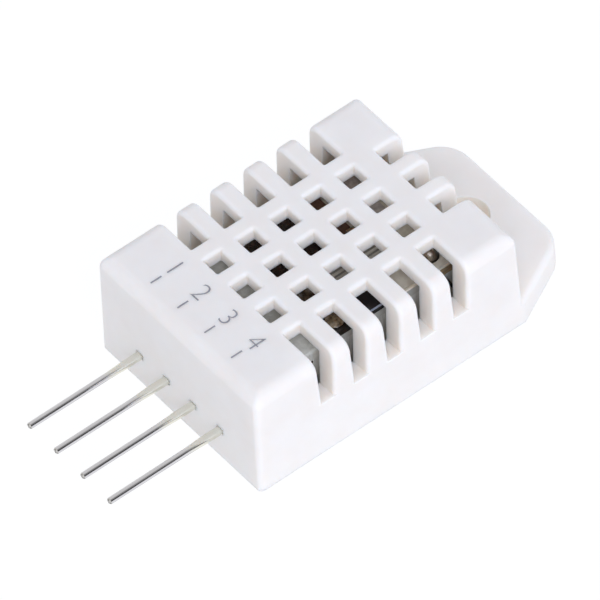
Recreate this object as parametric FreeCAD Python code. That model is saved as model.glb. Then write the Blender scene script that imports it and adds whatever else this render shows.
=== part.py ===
import FreeCAD, Part
import math
import os

V = FreeCAD.Vector

# A small white temperature and humidity sensor on four pins.
# X is the width, Y runs from the pins to the mounting ear, Z rises from the back face to the grille.
# The origin is the centre of the body's back face. All sizes are millimetres.

# Case body
body_width = 15.1
body_length = 20.0
body_thickness = 7.9
side_draft = math.radians(0.3)
end_draft = math.radians(1.6)
corner_radius = 0.35
top_edge_radius = 0.85
side_wall = 1.43
pin_wall = 1.4
ear_end_wall = 1.4
roof = 0.95

# Grille openings, side slots and end notches
opening_width = 1.32
opening_length = 1.28
opening_pitch = 2.5
opening_rows = 3
opening_columns = 5
opening_centre_y = 0.42
opening_corner = 0.08
opening_edge_radius = 0.25
opening_draft = math.radians(2.0)
slot_draft = math.radians(3.0)
slot_ledge_z = 4.2
notch_width = 1.4
notch_land = 1.66

# Mounting ear
ear_thickness = 1.8
ear_taper = math.radians(27.8)
ear_corner_radius = 2.3
ear_edge_radius = 0.4
ear_hole_diameter = 3.0
ear_hole_gap = 0.1
ear_rim = 1.7

# Back cover
cover_thickness = 1.2
cover_ledge = 0.6
cover_gap = 0.05
cover_corner_radius = 0.8
cover_adhesive_thickness = 0.1
cavity_corner_radius = 0.4

# Circuit board and its carrier
board_side_gap = 1.02
board_thickness = 0.6
board_headroom = 1.25
board_end_gap = 0.3
board_corner_radius = 0.3
carrier_setback = 0.06
carrier_wall = 0.9
carrier_end_wall = 0.9
carrier_pin_block = 3.0

# Contact pins
pin_count = 4
pin_names = ["supply_pin", "data_pin", "spare_pin", "ground_pin"]
pin_pitch = 2.54
pin_width = 0.42
pin_thickness = 0.40
pin_shoulder_width = 0.54
pin_shoulder_length = 1.1
pin_shoulder_taper = 1.2
pin_reach = 8.2
pin_height = 2.34
pin_bend_radius = 0.3
pin_bend_setback = 2.4
pin_tail = 0.22
pin_tip_chamfer = 0.05
pin_case_gap = 0.05
pin_slot_gap = 0.02
pin_hole_diameter = 0.7
pin_solder_diameter = 1.3
pin_solder_height = 0.3

# Sealing compound over the pin joints
seal_plate_gap = 0.6
seal_skin = 0.2
seal_height = 0.38
seal_depth = 1.9
seal_edge_radius = 0.15

# Humidity element
plate_width = 4.4
plate_length = 6.4
plate_thickness = 0.35
plate_edge_gap = 0.7
plate_pin_end_y = -2.6
film_margin = 0.15
film_length = 4.7
film_thickness = 0.06
electrode_count = 9
electrode_width = 0.22
electrode_thickness = 0.03
element_lead_width = 0.5
element_lead_thickness = 0.15
element_lead_reach = 0.9
element_lead_grip = 0.35
element_lead_bend_gap = 0.1
element_solder_diameter = 0.8
element_solder_height = 0.35

# Thermistor
cup_width = 1.75
cup_length = 1.7
cup_height = 0.45
cup_corner_radius = 0.4
cup_overhang = 0.1
cup_centre_y = -1.45
cup_rim = 0.22
cup_recess = 0.2
bead_rise = 0.16
bead_gap = 0.03
thermistor_lead_width = 0.3
thermistor_lead_thickness = 0.12
thermistor_lead_length = 0.7
thermistor_lead_spacing = 0.9

# Memory chip at the near edge of the board
memory_width = 2.7
memory_length = 2.1
memory_height = 0.42
memory_overhang = 0.15
memory_centre_y = 1.45
memory_lead_count = 4
memory_lead_pitch = 0.6
memory_lead_width = 0.25
memory_lead_reach = 0.45
memory_lead_thickness = 0.1

# Microcontroller under the board
controller_width = 3.9
controller_length = 8.65
controller_height = 1.45
controller_lead_count = 7
controller_lead_pitch = 1.27
controller_lead_width = 0.4
controller_lead_reach = 1.0
controller_lead_thickness = 0.2
controller_setback = 0.2
chip_standoff = 0.05
chip_draft = 0.06
chip_bevel = 0.08

# Ceramic capacitors and resistors
capacitor_length = 2.0
capacitor_width = 1.25
capacitor_height = 0.8
resistor_length = 1.6
resistor_width = 0.8
resistor_height = 0.45
cap_share = 0.22
passive_margin = 0.12
passive_inset = 1.3
passive_row_gap = 2.05
under_resistor_count = 3
under_row_gap = 0.25

# Board tracks
track_thickness = 0.05
edge_track_width = 0.22
signal_track_width = 0.2
signal_track_count = 3
signal_track_pitch = 0.35
signal_track_end_y = 5.0
track_end_gap = 0.3

# Jumper wire at the near edge
wire_diameter = 0.2
wire_drop = 1.05
wire_span = 1.4
wire_end_gap = 0.85
wire_side_gap = 0.1
wire_bend = 0.2
wire_hole_setback = 1.32
wire_solder_diameter = 1.0
wire_solder_height = 0.55
wire_gap = 0.06

# Solder cones, and how far cutting tools and edge picks reach past a face
solder_crown = 0.17
tool_reach = 1.0
pick_room = 0.01
level_room = 1e-4

# Places worked out from the sizes
pin_end_y = -body_length / 2
ear_end_y = body_length / 2
half_width = body_width / 2
cavity_x = half_width - side_wall
cavity_low_y = pin_end_y + pin_wall
cavity_high_y = ear_end_y - ear_end_wall
cavity_top = body_thickness - roof
rows = [(i - (opening_rows - 1) / 2) * opening_pitch for i in range(opening_rows)]
first_column_y = opening_centre_y - (opening_columns - 1) / 2 * opening_pitch
columns = [first_column_y + i * opening_pitch for i in range(opening_columns)]
slot_inner_x = rows[-1] + opening_pitch - opening_width / 2
notch_inner_y = columns[-1] + opening_length / 2 + notch_land
board_top = cavity_top - board_headroom
board_bottom = board_top - board_thickness
board_low_y = cavity_low_y + board_end_gap
board_high_y = cavity_high_y - board_end_gap
board_x = cavity_x - board_side_gap
carrier_x = board_x - carrier_setback
carrier_hollow_low_y = board_low_y + carrier_pin_block
carrier_hollow_high_y = board_high_y - carrier_end_wall
carrier_hollow_x = carrier_x - carrier_wall
pin_places = [(i - (pin_count - 1) / 2) * pin_pitch for i in range(pin_count)]
pin_bend_y = cavity_low_y + pin_bend_setback
pin_top = board_top + pin_tail
cup_high_x = board_x + cup_overhang
cup_top = board_top + cup_height
bead_x = cup_high_x - cup_width + cup_length / 2
plate_far_x = plate_edge_gap - board_x
plate_near_x = plate_far_x + plate_width
plate_ear_end_y = plate_pin_end_y + plate_length
plate_top = board_top + plate_thickness
seal_high_y = plate_pin_end_y - seal_plate_gap
passive_row_y = plate_ear_end_y + passive_row_gap
memory_low_x = board_x + memory_overhang - memory_width
memory_high_y = memory_centre_y + memory_length / 2 + memory_lead_reach
wire_hole_x = board_x - wire_hole_setback
wire_last_y = board_high_y - wire_end_gap
wire_ends_y = [wire_last_y - wire_span, wire_last_y]
wire_run_z = board_bottom - wire_gap - wire_diameter / 2
recess_depth = cover_thickness + cover_adhesive_thickness
pin_tip_y = pin_end_y - pin_reach
ear_hole_y = ear_end_y + ear_hole_gap + ear_hole_diameter / 2
ear_tip_y = ear_hole_y + ear_hole_diameter / 2 + ear_rim


def box(low, high):
    """Plain block between two corners."""
    return Part.makeBox(high.x - low.x, high.y - low.y, high.z - low.z, low)


def tapered_block(low, high, inset_x, inset_y):
    """Block whose top face is drawn in on each side; a negative inset widens it."""
    block = Part.makeWedge(low.x, low.z, -high.y, -high.y + inset_y, low.x + inset_x,
                           high.x, high.z, -low.y, -low.y - inset_y, high.x - inset_x)
    block.rotate(V(0, 0, 0), V(1, 0, 0), 90)
    return block


def prism(points, rise):
    """Straight-sided solid over a closed outline of points."""
    return Part.Face(Part.makePolygon(points + [points[0]])).extrude(rise)


def is_upright(edge):
    """Whether an edge runs mainly along Z."""
    return edge.BoundBox.ZLength > 2 * max(edge.BoundBox.XLength, edge.BoundBox.YLength)


def upright_edges(shape):
    """Edges of a shape that run mainly along Z."""
    return [e for e in shape.Edges if is_upright(e)]


def edges_at_height(shape, z):
    """Edges that lie level at one height."""
    return [e for e in shape.Edges if max(abs(e.BoundBox.ZMin - z), abs(e.BoundBox.ZMax - z)) < level_room]


def rounded_block(low, high, radius):
    """Block with rounded upright edges."""
    block = box(low, high)
    return block.makeFillet(radius, upright_edges(block))


def polyline(points):
    """Straight edges through a list of points."""
    return [Part.LineSegment(a, b).toShape() for a, b in zip(points, points[1:])]


def hole_tool(diameter, x, y, low_z, high_z):
    """Upright cylinder that runs past both faces of what it drills."""
    return Part.makeCylinder(diameter / 2, high_z - low_z + 2 * tool_reach, V(x, y, low_z - tool_reach))


def solder_cone(centre, diameter, height):
    """Cone of solder that stands on a surface."""
    return Part.makeCone(diameter / 2, diameter * solder_crown, height, centre)


def body_profile(half, draft):
    """Upright face across the case body: drafted sides, and top edges rounded tangent to both faces."""
    radius = top_edge_radius
    run = (body_thickness - radius + radius * math.sin(draft)) / math.cos(draft)
    foot = V(half - run * math.sin(draft), 0, run * math.cos(draft))
    centre = V(foot.x - radius * math.cos(draft), 0, body_thickness - radius)
    middle = (math.pi / 2 + draft) / 2
    halfway = centre + V(radius * math.cos(middle), 0, radius * math.sin(middle))
    arc = [foot, halfway, centre + V(0, 0, radius)]
    mirrored = [V(-p.x, 0, p.z) for p in reversed(arc)]
    edges = polyline([mirrored[2], V(-half, 0, 0), V(half, 0, 0), arc[0]])
    edges.append(Part.Arc(*arc).toShape())
    edges += polyline([arc[2], mirrored[0]])
    edges.append(Part.Arc(*mirrored).toShape())
    return Part.Face(Part.Wire(edges))


def body_block():
    """Outside of the case: the long and the short profile run through each other, corners rounded."""
    lengthwise = body_profile(half_width, side_draft).extrude(V(0, body_length, 0))
    lengthwise.translate(V(0, pin_end_y, 0))
    crosswise = body_profile(ear_end_y, end_draft).extrude(V(0, -body_width, 0))
    crosswise.rotate(V(0, 0, 0), V(0, 0, 1), 90)
    crosswise.translate(V(-half_width, 0, 0))
    block = lengthwise.common(crosswise)
    room = top_edge_radius
    corners = [e for e in block.Edges if abs(e.CenterOfMass.x) > half_width - room]
    corners = [e for e in corners if abs(e.CenterOfMass.y) > ear_end_y - room]
    return block.makeFillet(corner_radius, corners)


def ear_plate():
    """Mounting ear, flush with the back, before its screw hole."""
    run = ear_tip_y - ear_end_y
    tip_x = half_width - run * math.tan(ear_taper)
    root_y = ear_end_y - corner_radius
    points = [V(-half_width, root_y, 0), V(half_width, root_y, 0), V(half_width, ear_end_y, 0),
              V(tip_x, ear_tip_y, 0), V(-tip_x, ear_tip_y, 0), V(-half_width, ear_end_y, 0)]
    plate = prism(points, V(0, 0, ear_thickness))
    tips = [e for e in upright_edges(plate) if e.CenterOfMass.y > ear_tip_y - pick_room]
    plate = plate.makeFillet(ear_corner_radius, tips)
    rim = [e for e in edges_at_height(plate, ear_thickness) if e.BoundBox.YMax > ear_end_y + pick_room]
    return plate.makeFillet(ear_edge_radius, rim)


def grille_opening(x, y):
    """Tapered tool for one hole of the grille."""
    spread = roof * math.tan(opening_draft)
    half_x = opening_width / 2
    half_y = opening_length / 2
    tool = tapered_block(V(x - half_x + spread, y - half_y + spread, cavity_top),
                         V(x + half_x - spread, y + half_y - spread, body_thickness), -spread, -spread)
    return tool.makeFillet(opening_corner, upright_edges(tool))


def side_slot(side, y):
    """Tapered tool for one slot that runs out over the long edge on one side."""
    depth = body_thickness - slot_ledge_z
    spread = depth * math.tan(slot_draft)
    half = opening_length / 2
    near = slot_inner_x
    far = half_width + tool_reach
    low = V(min(side * near, side * far), y - half + spread, slot_ledge_z)
    high = V(max(side * near, side * far), y + half - spread, body_thickness)
    tool = tapered_block(low, high, 0, -spread)
    inner = [e for e in upright_edges(tool) if abs(e.CenterOfMass.x - side * near) < pick_room]
    return tool.makeFillet(opening_corner, inner)


def end_notch(x):
    """Tapered tool for one notch that runs out over the ear end."""
    depth = body_thickness - slot_ledge_z
    spread = depth * math.tan(slot_draft)
    half = notch_width / 2
    tool = tapered_block(V(x - half + spread, notch_inner_y, slot_ledge_z),
                         V(x + half - spread, ear_end_y + tool_reach, body_thickness), -spread, 0)
    inner = [e for e in upright_edges(tool) if e.CenterOfMass.y < notch_inner_y + pick_room]
    return tool.makeFillet(opening_corner, inner)


def pin_profile(grow):
    """Side view of a pin in the YZ plane, from tip to tail, grown by a clearance."""
    half = pin_thickness / 2 + grow
    inner = (pin_bend_radius - grow) * math.sqrt(0.5)
    outer = (pin_bend_radius + pin_thickness + grow) * math.sqrt(0.5)
    centre_y = pin_bend_y - pin_thickness / 2 - pin_bend_radius
    centre_z = pin_height + pin_thickness / 2 + pin_bend_radius
    low_z = pin_height - half
    high_z = pin_height + half
    near_y = pin_bend_y - half
    far_y = pin_bend_y + half
    inner_arc = [V(0, centre_y, high_z), V(0, centre_y + inner, centre_z - inner), V(0, near_y, centre_z)]
    outer_arc = [V(0, far_y, centre_z), V(0, centre_y + outer, centre_z - outer), V(0, centre_y, low_z)]
    edges = [Part.Arc(*inner_arc).toShape()]
    edges += polyline([inner_arc[2], V(0, near_y, pin_top), V(0, far_y, pin_top), outer_arc[0]])
    edges.append(Part.Arc(*outer_arc).toShape())
    edges += polyline([outer_arc[2], V(0, pin_tip_y, low_z), V(0, pin_tip_y, high_z), inner_arc[0]])
    return Part.Face(Part.Wire(edges))


def pin_bar(x, grow):
    """Bent bar of one pin, grown by a clearance."""
    width = pin_width + 2 * grow
    bar = pin_profile(grow).extrude(V(width, 0, 0))
    bar.translate(V(x - width / 2, 0, 0))
    return bar


def contact_pin(x):
    """One pin: bent bar, wider shoulder at the case and chamfered tip."""
    bar = pin_bar(x, 0)
    tip = [e for e in bar.Edges if e.BoundBox.YMax < pin_tip_y + pick_room]
    bar = bar.makeChamfer(pin_tip_chamfer, tip)
    half = pin_width / 2
    wide = pin_shoulder_width / 2
    low_z = pin_height - pin_thickness / 2
    straight_y = pin_end_y - pin_shoulder_length
    taper_y = straight_y - pin_shoulder_taper
    right = [V(x + half, taper_y, low_z), V(x + wide, straight_y, low_z), V(x + wide, cavity_low_y, low_z)]
    left = [V(x - wide, cavity_low_y, low_z), V(x - wide, straight_y, low_z), V(x - half, taper_y, low_z)]
    return bar.fuse(prism(right + left, V(0, 0, pin_thickness))).removeSplitter()


def pin_window(x):
    """Tool for the hole of one pin through the pin-end wall."""
    half_x = pin_shoulder_width / 2 + pin_case_gap
    half_z = pin_thickness / 2 + pin_case_gap
    return box(V(x - half_x, pin_end_y - tool_reach, pin_height - half_z),
               V(x + half_x, cavity_low_y + board_end_gap, pin_height + half_z))


def front_case():
    """White moulded shell with its grille, slots, notches, pin holes and ear."""
    case = body_block()
    for y in columns:
        for x in rows:
            case = case.cut(grille_opening(x, y))
        for side in (-1, 1):
            case = case.cut(side_slot(side, y))
    for x in rows:
        case = case.cut(end_notch(x))
    case = case.makeFillet(opening_edge_radius, edges_at_height(case, body_thickness))
    inset = body_thickness * math.tan(side_draft)
    low = V(-half_width, pin_end_y, 0)
    high = V(half_width, ear_tip_y + tool_reach, body_thickness)
    case = case.fuse(ear_plate().common(tapered_block(low, high, inset, 0)))
    cavity_low = V(-cavity_x, cavity_low_y, -tool_reach)
    case = case.cut(rounded_block(cavity_low, V(cavity_x, cavity_high_y, cavity_top), cavity_corner_radius))
    case = case.cut(cover_outline(-tool_reach, recess_depth, 0))
    case = case.cut(hole_tool(ear_hole_diameter, 0, ear_hole_y, 0, ear_thickness))
    for x in pin_places:
        case = case.cut(pin_window(x))
    return case


def cover_outline(low_z, high_z, gap):
    """Rounded plate that fills the recess in the back, less a gap all round."""
    reach_x = cavity_x + cover_ledge - gap
    low_y = cavity_low_y - cover_ledge + gap
    high_y = cavity_high_y + cover_ledge - gap
    return rounded_block(V(-reach_x, low_y, low_z), V(reach_x, high_y, high_z), cover_corner_radius - gap)


def cover_adhesive():
    """Thin frame of adhesive on the ledge above the back cover."""
    window = box(V(-cavity_x, cavity_low_y, 0), V(cavity_x, cavity_high_y, body_thickness))
    return cover_outline(cover_thickness, recess_depth, cover_gap).cut(window)


def board_carrier():
    """Grey moulded frame between the back cover and the board, with its pin channels and wire notches."""
    low = V(-carrier_x, board_low_y, cover_thickness)
    high = V(carrier_x, board_high_y, board_bottom)
    carrier = rounded_block(low, high, board_corner_radius)
    carrier = carrier.cut(box(V(-carrier_hollow_x, carrier_hollow_low_y, cover_thickness - tool_reach),
                              V(carrier_hollow_x, carrier_hollow_high_y, board_bottom + tool_reach)))
    for x in pin_places:
        carrier = carrier.cut(pin_bar(x, pin_slot_gap))
    half = wire_diameter / 2 + wire_gap
    for y in wire_ends_y:
        carrier = carrier.cut(box(V(wire_hole_x - half, y - half, wire_run_z - half),
                                  V(board_x + tool_reach, y + half, board_bottom + tool_reach)))
    return carrier


def circuit_board():
    """Bare board with the holes for the pins and the jumper wire."""
    low = V(-board_x, board_low_y, board_bottom)
    high = V(board_x, board_high_y, board_top)
    board = rounded_block(low, high, board_corner_radius)
    for x in pin_places:
        board = board.cut(hole_tool(pin_hole_diameter, x, pin_bend_y, board_bottom, board_top))
    for y in wire_ends_y:
        board = board.cut(hole_tool(wire_diameter + 2 * wire_gap, wire_hole_x, y, board_bottom, board_top))
    return board


def board_tracks():
    """Bright edge line and signal tracks, a little proud of the board."""
    low_y = memory_high_y + track_end_gap
    high_y = board_high_y - board_corner_radius
    top = board_top + track_thickness
    tracks = [box(V(board_x - edge_track_width, low_y, board_top), V(board_x, high_y, top))]
    middle_x = (plate_near_x + memory_low_x) / 2
    half = signal_track_width / 2
    for i in range(signal_track_count):
        x = middle_x + (i - (signal_track_count - 1) / 2) * signal_track_pitch
        tracks.append(box(V(x - half, seal_high_y + track_end_gap, board_top),
                          V(x + half, signal_track_end_y, top)))
    return tracks


def pin_solder_joints():
    """Solder cone round the tail of each pin on top of the board."""
    joints = []
    for x in pin_places:
        cone = solder_cone(V(x, pin_bend_y, board_top), pin_solder_diameter, pin_solder_height)
        joints.append(cone.cut(pin_bar(x, 0)))
    return joints


def sealing_compound():
    """Grey cured compound over the pin joints, wrapped round the end of the board."""
    reach = board_x + seal_skin
    low = V(-reach, board_low_y, board_top - seal_depth)
    block = box(low, V(reach, seal_high_y, board_top + seal_height))
    block = block.makeFillet(seal_edge_radius, [e for e in block.Edges if e.BoundBox.ZMin > board_top])
    core_low = V(-board_x, board_low_y - tool_reach, low.z - tool_reach)
    block = block.cut(box(core_low, V(board_x, seal_high_y + tool_reach, board_top)))
    for joint in pin_solder_joints():
        block = block.cut(joint)
    for x in pin_places:
        block = block.cut(pin_bar(x, 0))
    return block


def humidity_plate():
    """Brown carrier plate of the humidity element."""
    return box(V(plate_far_x, plate_pin_end_y, board_top), V(plate_near_x, plate_ear_end_y, plate_top))


def electrode_comb(side):
    """One comb of the electrode pair, with its spine on one side and a pad at the ear end."""
    low_x = plate_far_x + film_margin + electrode_width / 2
    high_x = plate_near_x - film_margin - electrode_width / 2
    low_y = plate_pin_end_y + film_margin + electrode_width
    pitch = (film_length - 2 * electrode_width) / electrode_count
    spine_x = low_x if side < 0 else high_x - electrode_width
    top = plate_top + electrode_thickness
    comb = box(V(spine_x, low_y, plate_top), V(spine_x + electrode_width, plate_ear_end_y - film_margin, top))
    gap = 2 * electrode_width
    for i in range(electrode_count):
        if i % 2 == (0 if side < 0 else 1):
            y = low_y + i * pitch
            start = low_x if side < 0 else low_x + gap
            end = high_x - gap if side < 0 else high_x
            comb = comb.fuse(box(V(start, y, plate_top), V(end, y + electrode_width, top)))
    return comb.removeSplitter()


def humidity_film():
    """Dark moisture-sensitive film, poured over the combs."""
    low = V(plate_far_x + film_margin, plate_pin_end_y + film_margin, plate_top)
    high = V(plate_near_x - film_margin, plate_pin_end_y + film_margin + film_length,
             plate_top + electrode_thickness + film_thickness)
    film = rounded_block(low, high, film_margin)
    for side in (-1, 1):
        film = film.cut(electrode_comb(side))
    return film


def element_lead_places():
    """Middle of each lead of the humidity element along X."""
    low_x = plate_far_x + film_margin + electrode_width
    high_x = plate_near_x - film_margin - electrode_width
    return [low_x, high_x]


def humidity_lead(x):
    """Flat cranked lead from a comb's spine down to the board."""
    high = plate_top + electrode_thickness
    thick = element_lead_thickness
    start = plate_ear_end_y - film_margin - element_lead_grip
    bend = plate_ear_end_y + element_lead_bend_gap
    end = plate_ear_end_y + element_lead_reach
    under = [V(0, start, high), V(0, bend, high), V(0, bend, board_top), V(0, end, board_top)]
    over = [V(0, end, board_top + thick), V(0, bend + thick, board_top + thick),
            V(0, bend + thick, high + thick), V(0, start, high + thick)]
    lead = prism(under + over, V(element_lead_width, 0, 0))
    lead.translate(V(x - element_lead_width / 2, 0, 0))
    return lead


def humidity_solder():
    """Solder over the foot of each lead of the humidity element."""
    y = plate_ear_end_y + element_lead_reach
    joints = []
    for x in element_lead_places():
        cone = solder_cone(V(x, y, board_top), element_solder_diameter, element_solder_height)
        joints.append(cone.cut(humidity_lead(x)))
    return joints


def thermistor_cup():
    """Black moulded cup of the thermistor at the near edge of the board."""
    low = V(cup_high_x - cup_width, cup_centre_y - cup_length / 2, board_top)
    high = V(cup_high_x, cup_centre_y + cup_length / 2, cup_top)
    cup = rounded_block(low, high, cup_corner_radius)
    floor = V(bead_x, cup_centre_y, cup_top - cup_recess)
    return cup.cut(Part.makeCylinder(cup_length / 2 - cup_rim, cup_recess + tool_reach, floor))


def thermistor_bead():
    """Brown resin bead that stands in the cup as a low dome."""
    base = cup_length / 2 - cup_rim - bead_gap
    rise = cup_recess + bead_rise
    radius = (base ** 2 + rise ** 2) / (2 * rise)
    floor = cup_top - cup_recess
    ball = Part.makeSphere(radius, V(bead_x, cup_centre_y, floor + rise - radius))
    low = V(bead_x - radius, cup_centre_y - radius, floor)
    return ball.common(box(low, V(bead_x + radius, cup_centre_y + radius, floor + rise + tool_reach)))


def thermistor_leads():
    """Two flat leads from the far side of the cup."""
    high_x = cup_high_x - cup_width
    half = thermistor_lead_width / 2
    leads = []
    for side in (-1, 1):
        y = cup_centre_y + side * thermistor_lead_spacing / 2
        leads.append(box(V(high_x - thermistor_lead_length, y - half, board_top),
                         V(high_x, y + half, board_top + thermistor_lead_thickness)))
    return leads


def chip_body(width, length, height):
    """Moulded chip standing on z = 0 at its standoff, with drafted sides and a bevelled top."""
    low = V(-width / 2, -length / 2, chip_standoff)
    high = V(width / 2, length / 2, chip_standoff + height)
    body = tapered_block(low, high, chip_draft, chip_draft)
    return body.makeChamfer(chip_bevel, edges_at_height(body, chip_standoff + height))


def chip_lead(reach, thickness, width, mid_z):
    """Cranked lead that leaves a body at y = 0 towards +Y and stands on z = 0."""
    crank = reach / 3
    points = [V(0, 0, mid_z), V(0, crank, mid_z), V(0, crank, 0), V(0, reach, 0), V(0, reach, thickness),
              V(0, crank + thickness, thickness), V(0, crank + thickness, mid_z + thickness),
              V(0, 0, mid_z + thickness)]
    lead = prism(points, V(width, 0, 0))
    lead.translate(V(-width / 2, 0, 0))
    return lead


def chip_leads(count, pitch, reach, thickness, width, height, length):
    """Two rows of leads on the Y ends of a chip that stands on z = 0."""
    leads = []
    for side in (-1, 1):
        for i in range(count):
            lead = chip_lead(reach + chip_draft, thickness, width, chip_standoff + height / 2)
            lead.translate(V((i - (count - 1) / 2) * pitch, length / 2 - chip_draft / 2, 0))
            if side < 0:
                lead.rotate(V(0, 0, 0), V(0, 0, 1), 180)
            leads.append(lead)
    return leads


def memory_chip():
    """Body and leads of the thin black chip at the near edge."""
    place = V(memory_low_x + memory_width / 2, memory_centre_y, board_top)
    body = chip_body(memory_width, memory_length, memory_height)
    leads = chip_leads(memory_lead_count, memory_lead_pitch, memory_lead_reach, memory_lead_thickness,
                       memory_lead_width, memory_height, memory_length)
    leads = [lead.cut(body) for lead in leads]
    for shape in [body] + leads:
        shape.translate(place)
    return body, leads


def controller_chip():
    """Body and leads of the microcontroller, hung under the board with its rows of leads along X."""
    place = V(0, carrier_hollow_low_y + controller_setback + controller_length / 2, board_bottom)
    body = chip_body(controller_length, controller_width, controller_height)
    leads = chip_leads(controller_lead_count, controller_lead_pitch, controller_lead_reach,
                       controller_lead_thickness, controller_lead_width, controller_height, controller_width)
    leads = [lead.cut(body) for lead in leads]
    for shape in [body] + leads:
        shape.rotate(V(0, 0, 0), V(0, 0, 1), 90)
        shape.rotate(V(0, 0, 0), V(0, 1, 0), 180)
        shape.translate(place)
    return body, leads


def passive(length, width, height, place, turn, under):
    """Body and two end caps of a surface-mounted passive part, laid along X before its turn."""
    cap = cap_share * length
    pieces = [box(V(-length / 2 + cap, -width / 2, 0), V(length / 2 - cap, width / 2, height)),
              box(V(-length / 2, -width / 2, 0), V(-length / 2 + cap, width / 2, height)),
              box(V(length / 2 - cap, -width / 2, 0), V(length / 2, width / 2, height))]
    for piece in pieces:
        piece.rotate(V(0, 0, 0), V(0, 0, 1), turn)
        if under:
            piece.rotate(V(0, 0, 0), V(0, 1, 0), 180)
        piece.translate(place)
    return pieces


def capacitor(place, under):
    """Pieces of one ceramic capacitor."""
    return passive(capacitor_length, capacitor_width, capacitor_height, place, 0, under)


def under_row():
    """Middle of each part along X in the row under the board, the capacitor first."""
    widths = [capacitor_length] + [resistor_width] * under_resistor_count
    x = -(sum(widths) + under_resistor_count * under_row_gap) / 2
    middles = []
    for width in widths:
        middles.append(x + width / 2)
        x = x + width + under_row_gap
    return middles


def capacitors():
    """One ceramic capacitor beyond the humidity element and one in the row under the board."""
    under_y = carrier_hollow_high_y - passive_margin - capacitor_width / 2
    return [capacitor(V(plate_far_x + passive_inset, passive_row_y, board_top), False),
            capacitor(V(under_row()[0], under_y, board_bottom), True)]


def resistor(place, turn, under):
    """Pieces of one chip resistor."""
    return passive(resistor_length, resistor_width, resistor_height, place, turn, under)


def resistors():
    """One resistor beside the upper capacitor and the rest of the row under the board."""
    chips = [resistor(V(plate_near_x - resistor_length / 2, passive_row_y, board_top), 0, False)]
    under_y = carrier_hollow_high_y - passive_margin - resistor_length / 2
    for x in under_row()[1:]:
        chips.append(resistor(V(x, under_y, board_bottom), 90, True))
    return chips


def bent_tube(points, radius, bend):
    """Round tube along straight runs joined by tangent arcs of one radius."""
    edges = []
    start = points[0]
    for before, corner, after in zip(points, points[1:], points[2:]):
        back = (before - corner).normalize()
        ahead = (after - corner).normalize()
        half = back.getAngle(ahead) / 2
        run = bend / math.tan(half)
        middle = (back + ahead).normalize()
        centre = corner + middle * (bend / math.sin(half))
        entry = corner + back * run
        leave = corner + ahead * run
        edges.append(Part.LineSegment(start, entry).toShape())
        edges.append(Part.Arc(entry, centre - middle * bend, leave).toShape())
        start = leave
    edges.append(Part.LineSegment(start, points[-1]).toShape())
    path = Part.Wire(edges)
    ring = Part.Wire(Part.makeCircle(radius, points[0], points[1] - points[0]))
    return path.makePipeShell([ring], True, False)


def jumper_wire():
    """Black insulated wire that leaves under the board, sags down the carrier's side and comes back."""
    side_x = board_x + wire_side_gap + wire_diameter / 2
    low_z = wire_run_z - wire_drop
    top_z = board_top + track_thickness
    first, last = wire_ends_y
    third = (last - first) / 3
    points = [V(wire_hole_x, first, top_z), V(wire_hole_x, first, wire_run_z), V(side_x, first, wire_run_z),
              V(side_x, first + third, low_z), V(side_x, last - third, low_z),
              V(side_x, last, wire_run_z), V(wire_hole_x, last, wire_run_z), V(wire_hole_x, last, top_z)]
    return bent_tube(points, wire_diameter / 2, wire_bend)


def jumper_solder():
    """Solder cone over each end of the jumper wire on top of the board."""
    joints = []
    for y in wire_ends_y:
        cone = solder_cone(V(wire_hole_x, y, board_top), wire_solder_diameter, wire_solder_height)
        joints.append(cone.cut(jumper_wire()))
    return joints


def build_parts():
    """Every node of the sensor by name."""
    memory_body, memory_leads = memory_chip()
    controller_body, controller_leads = controller_chip()
    capacitor_pieces = capacitors()
    resistor_pieces = resistors()
    pins = [contact_pin(x) for x in pin_places]
    nodes = {
        "front_case": front_case(),
        "back_cover": cover_outline(0, cover_thickness, cover_gap),
        "cover_adhesive": cover_adhesive(),
        "board_carrier": board_carrier(),
        "circuit_board": circuit_board(),
        "board_tracks": board_tracks(),
        "pin_solder_joints": pin_solder_joints(),
        "sealing_compound": sealing_compound(),
        "humidity_plate": humidity_plate(),
        "humidity_electrodes": [electrode_comb(-1), electrode_comb(1)],
        "humidity_film": humidity_film(),
        "humidity_leads": [humidity_lead(x) for x in element_lead_places()],
        "humidity_solder": humidity_solder(),
        "thermistor_cup": thermistor_cup(),
        "thermistor_bead": thermistor_bead(),
        "thermistor_leads": thermistor_leads(),
        "memory_chip": memory_body,
        "memory_chip_leads": memory_leads,
        "controller_chip": controller_body,
        "controller_leads": controller_leads,
        "capacitor_bodies": [p[0] for p in capacitor_pieces],
        "capacitor_caps": [cap for p in capacitor_pieces for cap in p[1:]],
        "resistor_bodies": [p[0] for p in resistor_pieces],
        "resistor_caps": [cap for p in resistor_pieces for cap in p[1:]],
        "jumper_wire": jumper_wire(),
        "jumper_solder": jumper_solder(),
    }
    for name, pin in zip(pin_names, pins):
        nodes[name] = pin
    return nodes


def export_parts():
    """Write one STEP file per node."""
    os.makedirs("parts", exist_ok=True)
    for name, shape in build_parts().items():
        solids = [s for piece in shape for s in piece.Solids] if isinstance(shape, list) else shape.Solids
        whole = solids[0] if len(solids) == 1 else Part.makeCompound(solids)
        whole.exportStep("parts/" + name + ".step")
        print(name, len(solids), whole.isValid(), round(whole.Volume, 3))


export_parts()
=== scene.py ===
import logging
import math
from dataclasses import dataclass
from enum import Enum

import bmesh
import bpy
from mathutils import Matrix, Vector, noise


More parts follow.
